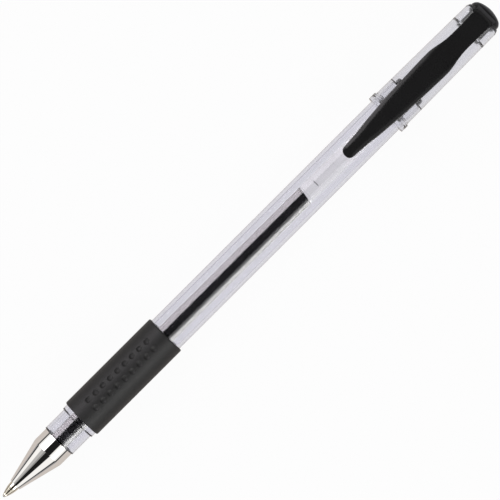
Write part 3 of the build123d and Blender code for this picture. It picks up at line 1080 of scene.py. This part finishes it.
# ---- cap
@dataclass
class Cap:
    """Clear cap shell and the black plug in its end, in millimetres."""

    mouth: float = 130.90
    end: float = 164.60
    recess: float = 163.50
    floor: float = 159.50
    plug_end: float = 167.05
    notch_half: float = 2.72

    def shell(self) -> Piece:
        """The shell: an outline carried round, held back behind the clip's root to leave a notch."""
        m, e = self.mouth, self.end
        outline = np.array([
            (m, 4.94, 0.08), (m, 5.67, 0.16), (m + 2.10, 5.67, 0.20), (m + 2.30, 5.30, 0.10),
            (e - 0.95, 4.97, 0.20), (e - 0.12, 4.64, 0.08), (e, 4.50, 0.05), (e, 4.30, 0.03),
            (self.recess + 0.10, 4.30, 0.03), (self.recess - 0.10, 4.36, 0.03),
            (self.floor + 0.05, 4.26, 0.10), (self.floor + 0.42, 3.40, 0.03),
            (self.floor, 3.40, 0.03), (self.floor - 0.42, 4.20, 0.10), (m + 7.30, 4.45, 0.05),
            (m + 7.10, 4.63, 0.05), (m + 2.50, 4.63, 0.30), (m + 1.00, 4.94, 0.30),
        ])
        outline = without_repeats(soften(outline[:, :2], outline[:, 2]), True)
        edge = math.asin(self.notch_half / 4.67)
        closer = math.pi + np.array([-edge, edge, -edge - 0.02, edge + 0.02])
        angles = np.sort(np.concatenate([ring_angles(), closer]))
        grid = turned(outline, angles)
        held = (np.abs(angles - math.pi) < edge + 0.01)[None, :] & (outline[:, 1] > 4.2)[:, None]
        grid[..., 0] = np.where(held, np.minimum(grid[..., 0], self.recess - 0.10), grid[..., 0])
        piece = lay(*woven(grid, True), "cap_shell_clear", 40.0)
        return dress(piece, CLEAR_CAP, ("cap_shell",), Body.CAP)

    def plug(self) -> Piece:
        """The end plug: hollow stem with its snap bead, flange and dome, carried round."""
        f, r = self.floor, self.recess
        outline = [
            (f + 0.35, 0.0, 0.0), (f + 0.35, 1.84, 0.10), (f - 0.85, 2.07, 0.10),
            (f - 0.85, 3.34, 0.20), (f - 0.60, 3.50, 0.10), (f - 0.12, 3.50, 0.10),
            (f - 0.02, 3.34, 0.04), (r - 0.56, 3.34, 0.04), (r + 0.24, 4.31, 0.12),
            (r + 1.85, 4.31, 0.70), (r + 2.70, 3.62, 0.50), (r + 3.12, 2.70, 0.45),
            (r + 3.38, 1.75, 0.40), (self.plug_end - 0.06, 1.12, 0.12),
            (self.plug_end - 0.12, 1.06, 0.03), (self.plug_end - 0.02, 0.98, 0.05),
            (self.plug_end, 0.70, 0.10), (self.plug_end, 0.0, 0.0),
        ]
        piece = spun(outline, "end_plug_black", False, 40.0)
        return dress(piece, PLUG, ("end_plug",), Body.CAP)

    def build(self) -> list[Piece]:
        """Both pieces."""
        return [self.shell(), self.plug()]


@dataclass
class PocketClip:
    """Pocket clip, one moulding with the end plug, in millimetres.

    Attributes:
        tip: station of the clip's tip.
        root: station where it springs from the plug.
        rear: station inside the plug where its mesh ends.
    """

    tip: float = 116.85
    root: float = 163.25
    rear: float = 165.90

    def half_width(self, away: Vec) -> Vec:
        """Half the clip's width at a distance from its tip: a blunt round end, then a smooth curve."""
        knots = [0.0, 1.03, 3.6, 6.37, 8.79, 11.2, 13.6, 16.5, 20.4, 24.3, 28.2]
        knots += [30.6, 32.4, 34.0, 35.9, 37.9, 40.3, 42.7, 45.65, 47.0, 48.9]
        widths = [1.50, 1.60, 1.80, 2.01, 2.34, 2.55, 2.74, 2.96, 3.15, 3.31, 3.44]
        widths += [3.49, 3.44, 3.21, 2.86, 2.63, 2.585, 2.60, 2.66, 2.75, 2.9]
        plain = smooth_curve(away, knots, widths)
        near = np.clip(away / 1.35, 0.0, 1.0)
        return plain * (1 - (1 - near) ** 2.3) ** (1 / 2.3)

    def heights(self, away: Vec) -> tuple[Vec, Vec]:
        """Heights of the clip's top and underside over the pen's axis."""
        knots = [0.0, 0.35, 1.0, 2.0, 12.0, 30.3, 31.2, 33.6, 36.7, 37.6, 46.2, 47.1, 47.96, 48.7, 48.9]
        top = [6.75, 7.02, 7.20, 7.30, 7.50, 7.60, 7.58, 7.20, 6.62, 6.56, 6.512, 6.30, 5.45, 4.33, 3.98]
        under = [6.35, 6.05, 5.96, 5.95, 6.145, 6.25, 6.22, 5.85, 5.32, 5.265, 5.262, 4.2, 3.2, 3.0, 3.0]
        return smooth_curve(away, knots, top), smooth_curve(away, knots, under)

    def bevel(self, away: Vec) -> Vec:
        """Width of the bevel along the top edges, which dies away at the neck."""
        return 0.15 + 0.95 * smooth_step(away, 0.2, 2.4) * (1 - smooth_step(away, 30.0, 37.5))

    def build(self) -> list[Piece]:
        """The clip: a bevelled section whose width and heights follow the curves above.

        The section's corners are the middle of the underside, its lower edge, the foot and the
        head of the bevel and the crown, mirrored.  The pad under the tip is a round bar sunk into
        the underside.
        """
        away = np.concatenate([
            np.linspace(0.0, 1.5, 30) ** 1.6 / 1.5**0.6,
            np.linspace(1.6, 4.2, 40),
            np.linspace(4.4, 29.8, 64),
            np.linspace(30.0, 38.5, 40),
            np.linspace(38.8, 46.0, 16),
            np.linspace(46.2, self.rear - self.tip, 16),
        ])
        away[0] = 0.004
        half = self.half_width(away)
        top, under = self.heights(away)
        edge = np.minimum(self.bevel(away), 0.5 * half)
        low = np.minimum(0.12, 0.3 * half)
        crown = 0.05 * smooth_step(away, 1.0, 6.0)
        shares = np.array([0.0, 0.3, 0.6])
        ys = [half * share for share in shares]
        ys += [half, half, half - edge, (half - edge) * 0.6, half * 0.0]
        ys[3] = half
        zs = [under] * 3 + [under, top - 0.20 * edge, top, top + 0.8 * crown, top + crown]
        right = np.stack([np.stack(ys, -1), np.stack(zs, -1)], -1)
        left = right[:, 1:-1][:, ::-1] * np.array([-1.0, 1.0])
        loop = np.concatenate([right, left], axis=1)
        rounds = np.zeros(loop.shape[:2])
        rounds[:, [3, -3]] = low[:, None]
        rounds[:, [4, -4]] = 0.15 * edge[:, None]
        rounds[:, [5, -5]] = 0.45 * edge[:, None]
        section = soften(loop, rounds, steps=4)
        pad_at, pad_radius = 2.6, 1.2
        off = away - pad_at
        pad = np.sqrt(np.maximum(pad_radius**2 - off**2, 0.0)) - 0.58 * pad_radius
        pad = np.maximum(pad, 0.0)[:, None] * (1 - smooth_step(np.abs(section[..., 0]), 0.75, 1.15))
        on_under = section[..., 1] < (under + 0.02)[:, None]
        section[..., 1] -= pad * on_under
        along = np.broadcast_to((self.tip + away)[:, None], section.shape[:2])
        grid = np.concatenate([along[..., None], section], -1)
        middle = grid.mean(axis=1, keepdims=True)
        first, last = (np.broadcast_to(end, grid[:1].shape) for end in (middle[:1], middle[-1:]))
        grid = np.concatenate([first, grid, last])
        grid[0, :, 0] = self.tip
        piece = lay(*woven(grid, False), "pocket_clip", 50.0)
        dress(piece, BLACK, ("clip",), None)
        start = (DATUM.station(self.root + 0.9), 0.0, DATUM.height)
        end = (DATUM.station(self.root - 1.3), 0.0, DATUM.height)
        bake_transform(piece)
        return [piece]


# ---- studio
@dataclass
class Studio:
    """Pale table, soft light in long cards beside the pen, and the camera over it.

    Attributes:
        view_width: width of the picture at the pen's axis, in millimetres.
        lens: focal length, in millimetres.
        middle: station and side step at the middle of the picture, in millimetres.
        turn: how far the pen points up from the picture's right, in degrees.
        passed_share: how far the table glows for rays that come through the clear plastic, a dim
            lavender glow of painted shade under the pen.
        mirror_share: how far it glows for mirrored rays, a painted reflection, warm near the pen and
            dark beyond.
        seen_share: how far it glows for the camera.
        sky: plain light from everywhere.
        belt: light that the belts add to it.
        upper_box: light of the box towards +Y, near the point and past its end.
        lower_box: the same for the box towards -Y.
        end_light: light low over the point.
    """

    view_width: float = 121.25
    lens: float = 300.0
    sensor: float = 36.0
    middle: Pair = (84.62, 0.066)
    turn: float = 44.946
    passed_share: float = 0.6
    mirror_share: float = 0.8
    seen_share: float = 0.96
    sky: float = 0.65
    belt: float = 0.40
    upper_box: Pair = (3.8, 0.5)
    lower_box: Pair = (5.5, 0.7)
    end_light: float = 3.2

    def camera(self) -> None:
        """A long lens straight over the pen."""
        data = bpy.data.cameras.new("camera")
        data.lens, data.sensor_width = self.lens, self.sensor
        data.clip_start, data.clip_end = 0.05, 20.0
        camera = bpy.data.objects.new("camera", data)
        away = self.lens / self.sensor * self.view_width * MM
        x, y = DATUM.station(self.middle[0]), self.middle[1] * MM
        camera.location = (x, y, DATUM.height + away)
        camera.rotation_euler = (0.0, 0.0, -math.radians(self.turn))
        bpy.context.scene.collection.objects.link(camera)
        bpy.context.scene.camera = camera

    def table(self) -> None:
        """A round pale table that keeps the pen's shadow; its glow for rays through clear plastic is
        painted shade, for mirrored rays a painted reflection.
        """
        rings = np.array([0.0, 60.0, 140.0, 400.0, 1500.0])
        outline = np.stack([np.full(len(rings), 0.0), rings], -1)
        grid = turned(outline, ring_angles(96))[..., [1, 2, 0]]
        mesh = bpy.data.meshes.new("table")
        points, faces = woven(grid, False)
        faces = faces[:, ::-1]
        rim = faces[:, 0] == faces[:, 1]
        lists = faces[~rim].tolist() + faces[rim][:, 1:].tolist()
        mesh.from_pydata(points * MM - np.array([0, 0, 0.00002]), [], lists)
        mesh.validate()
        table = bpy.data.objects.new("table", mesh)
        bpy.context.scene.collection.objects.link(table)
        material = bpy.data.materials.new("pale_table")
        material.use_nodes = True
        sheet = Sheet(material.node_tree)
        grain = sheet.noise(sheet.place(), 800.0)
        paper = sheet.blend(grain, (0.62, 0.62, 0.65), (0.60, 0.60, 0.63))
        x = sheet.axes()[0]
        # Painted reflection: mirrored rays see the table glow warm near the pen and dark beyond it.
        before = sheet.ranged(x, -0.092, -0.088, (1.0, 0.0))
        beyond = sheet.math("MAXIMUM", before, sheet.ranged(x, 0.081, 0.084, (0.0, 1.0)))
        painted_reflection_tone = sheet.blend(beyond, (0.69, 0.63, 0.58), (0.28, 0.28, 0.29))
        shaded = sheet.add("ShaderNodeBsdfDiffuse", Color=paper).outputs[0]
        through, mirrored, seen = (
            sheet.add("ShaderNodeEmission", Color=colour, Strength=1.0).outputs[0]
            for colour in ((0.90, 0.90, 0.945), painted_reflection_tone, (1.0, 1.0, 1.0))
        )
        # Painted shade: rays through the clear plastic see mostly an even, dimmer lavender glow standing
        # in for the shade under the pen.
        passed = sheet.path("Is Transmission Ray")
        shader = sheet.mix(sheet.times(passed, self.passed_share), shaded, through)
        glossy = sheet.times(sheet.path("Is Glossy Ray"), sheet.less(1.0, passed), self.mirror_share)
        shader = sheet.mix(glossy, shader, mirrored)
        camera = sheet.times(sheet.path("Is Camera Ray"), self.seen_share)
        sheet.surface(sheet.mix(camera, shader, seen))
        mesh.materials.append(material)

    def world(self) -> None:
        """Soft light by direction.

        `across` is the angle from straight up towards -Y and `x` the lean along the pen.  The sky
        is dim, with a paler belt on each side of the pen, a dark gap overhead, two long soft boxes
        that end a little past the middle of the pen, and a thin dark line on the horizon.  Towards
        the point the gap is narrower on one side, a grey card lies beside it and there is light low
        down.  Past the cap's end the sky is dimmer.
        """
        world = bpy.data.worlds.new("studio")
        bpy.context.scene.world = world
        world.use_nodes = True
        sheet = Sheet(world.node_tree)
        spot = sheet.tree.nodes.new("ShaderNodeTexCoord")
        parts = sheet.tree.nodes.new("ShaderNodeSeparateXYZ")
        sheet.feed(parts.inputs[0], spot.outputs["Generated"])
        x, y, z = parts.outputs
        across = sheet.times(sheet.math("ARCTAN2", sheet.times(y, -1.0), z), 180.0 / math.pi)
        lengthwise = sheet.window(x, (-0.70, -0.60), (0.60, 0.70))
        to_the_point = sheet.window(x, (-0.995, -0.97), (0.60, 0.70))
        point_side = sheet.ranged(x, -0.36, -0.30, (1.0, 0.0))
        rest_side = sheet.less(1.0, point_side)
        belts = sheet.plus(
            sheet.window(across, (-80.0, -74.0), (-22.0, -19.5)),
            sheet.window(across, (22.0, 27.5), (74.0, 80.0)),
        )
        boxes = sheet.window(x, (-0.30, -0.24), (0.24, 0.30))
        before_end = sheet.ranged(x, 0.0180, 0.0195, (1.0, 0.0))
        upper, lower = (
            sheet.times(
                sheet.window(across, low, high),
                sheet.math("MAXIMUM", sheet.times(before_end, near), past),
            )
            for low, high, (near, past) in (
                ((-63.0, -60.5), (-25.5, -23.0), self.upper_box),
                ((37.0, 42.0), (60.5, 63.0), self.lower_box),
            )
        )
        light = sheet.plus(self.sky, sheet.times(belts, lengthwise, self.belt))
        light = sheet.plus(light, sheet.times(sheet.plus(upper, lower), boxes))
        for low, high, side, reach, depth in (
            ((-22.5, -19.5), (22.0, 26.0), rest_side, lengthwise, 0.98),
            ((-11.0, -7.5), (29.0, 33.0), point_side, to_the_point, 0.98),
            ((-48.0, -42.0), (-11.0, -7.5), point_side, lengthwise, 0.50),
        ):
            where = sheet.times(sheet.window(across, low, high), side, reach)
            light = sheet.dimmed(light, where, depth)
        horizon = sheet.ranged(z, 0.115, 0.19, (0.02, 1.0))
        light = sheet.times(light, horizon, sheet.ranged(x, 0.30, 0.62, (1.0, 0.45)))
        sides = sheet.ranged(sheet.absolute(across), 24.0, 34.0, (0.0, self.end_light))
        light = sheet.plus(light, sheet.times(sheet.window(x, (-0.87, -0.83), (-0.75, -0.70)), sides))
        mauve = sheet.times(upper, 0.26, boxes)
        warm = sheet.blend(mauve, (1.0, 0.995, 0.985), (1.0, 0.93, 1.0))
        lit = sheet.add("ShaderNodeBackground", Color=warm, Strength=light)
        plain = sheet.add("ShaderNodeBackground", Color=(1.0, 1.0, 1.0), Strength=1.0)
        out = sheet.tree.nodes.new("ShaderNodeOutputWorld")
        seen = sheet.mix(sheet.path("Is Camera Ray"), lit.outputs[0], plain.outputs[0])
        sheet.feed(out.inputs[0], seen)

    def build(self) -> None:
        """Camera, table and light, with plain colours in the picture and deep light paths."""
        self.camera()
        self.table()
        self.world()
        scene = bpy.context.scene
        scene.view_settings.view_transform = "Standard"
        scene.cycles.transparent_max_bounces = 32
        scene.cycles.transmission_bounces = 24
        scene.cycles.max_bounces = 24


def main() -> None:
    """Builds the pen from its point to its cap, then the studio round it."""
    logging.basicConfig(level=logging.INFO, format="%(message)s")
    for made in (WritingPoint, NoseCone, Barrel, GripSleeve, Refill, TailPlug, Cap, PocketClip):
        part = made()
        pieces = part.build()
        log.info("%s: %s", type(part).__name__, ", ".join(p.name for p in pieces))
    Studio().build()


if __name__ == "__main__":
    main()
